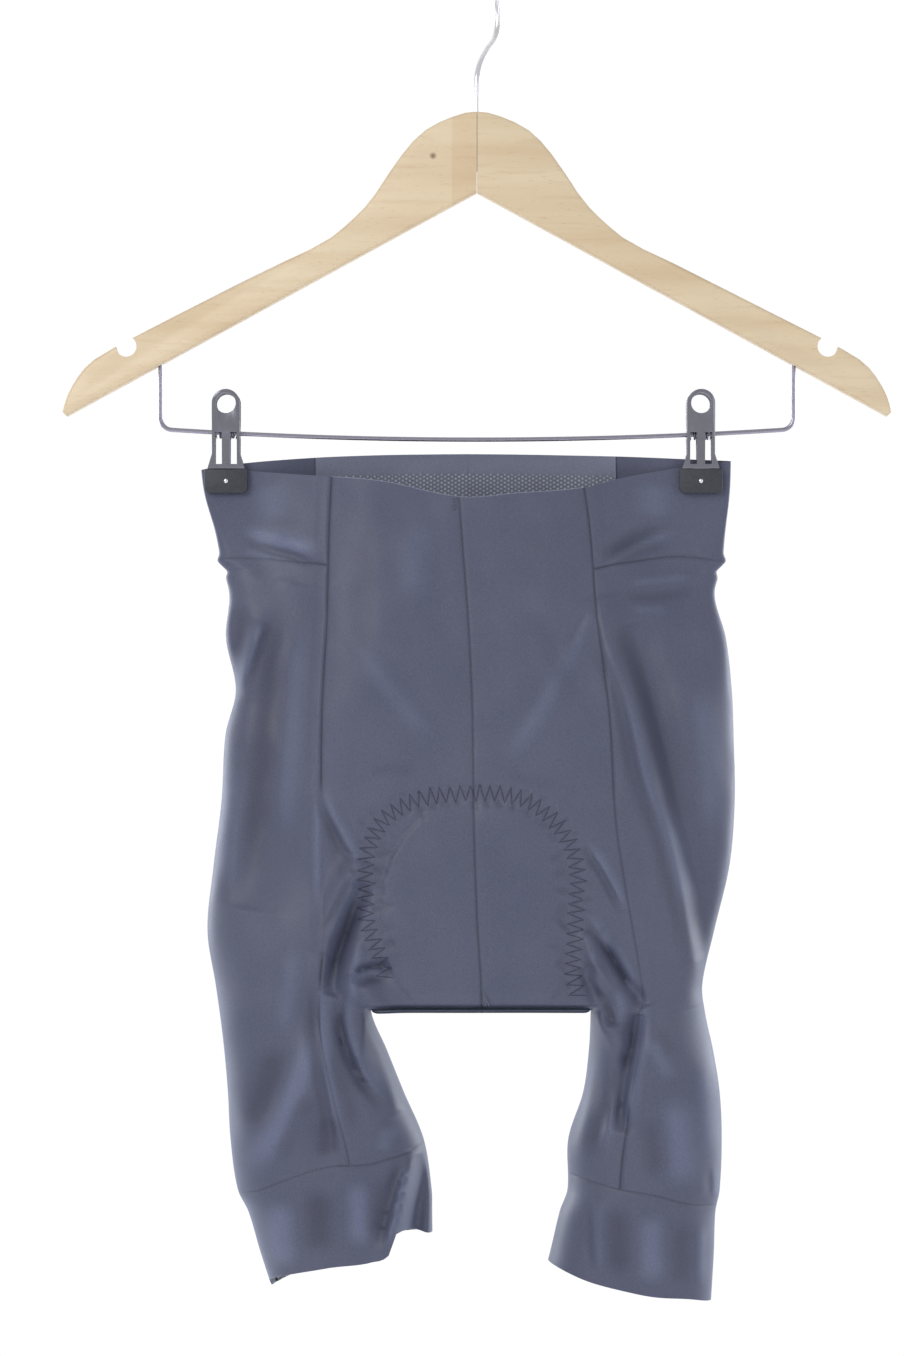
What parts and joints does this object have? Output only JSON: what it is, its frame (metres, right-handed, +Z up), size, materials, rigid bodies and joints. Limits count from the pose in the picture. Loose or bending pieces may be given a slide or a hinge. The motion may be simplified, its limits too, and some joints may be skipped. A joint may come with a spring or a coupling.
{
  "type": "athletic shorts on a wooden clip hanger",
  "caption": "Close-fitting athletic shorts of satin stretch knit, clipped by the waist to a wooden hanger with a wire hook and trouser bar.",
  "frame": {"origin": "the inner top of the hook, where a rail carries the hanger", "axes": "+Z up; the shorts' front faces -Y; +X to the right seen from the front, along the hanger"},
  "size_m": [0.4446, 0.0896, 0.7183],
  "materials": {
    "knit": "dark slate satin stretch knit",
    "mesh": "dark slate dotted mesh knit",
    "beech": "pale varnished beech",
    "wire": "bright nickel-plated wire",
    "plate": "dark nickel-plated sheet steel",
    "rubber": "dull dark rubber"
  },
  "bodies": {
    "root": {"front_left": "knit", "front_right": "knit", "side_left": "knit", "side_right": "knit", "back_left": "knit", "back_right": "knit", "waistband_left": "knit", "waistband_right": "knit", "cuff_left": "knit", "cuff_right": "knit", "waist_facing": "knit", "back_lining": "mesh", "gripper_left": "mesh", "gripper_right": "mesh", "hanger_wood_left": "beech", "hanger_wood_right": "beech", "hanger_hook": "wire", "hanger_bar": "wire", "clip_left_front_plate": "plate", "clip_left_front_pad": "rubber", "clip_left_back_plate": "plate", "clip_left_back_pad": "rubber", "clip_left_spring": "wire", "clip_right_front_plate": "plate", "clip_right_front_pad": "rubber", "clip_right_back_plate": "plate", "clip_right_back_pad": "rubber", "clip_right_spring": "wire"}
  },
  "joints": []
}
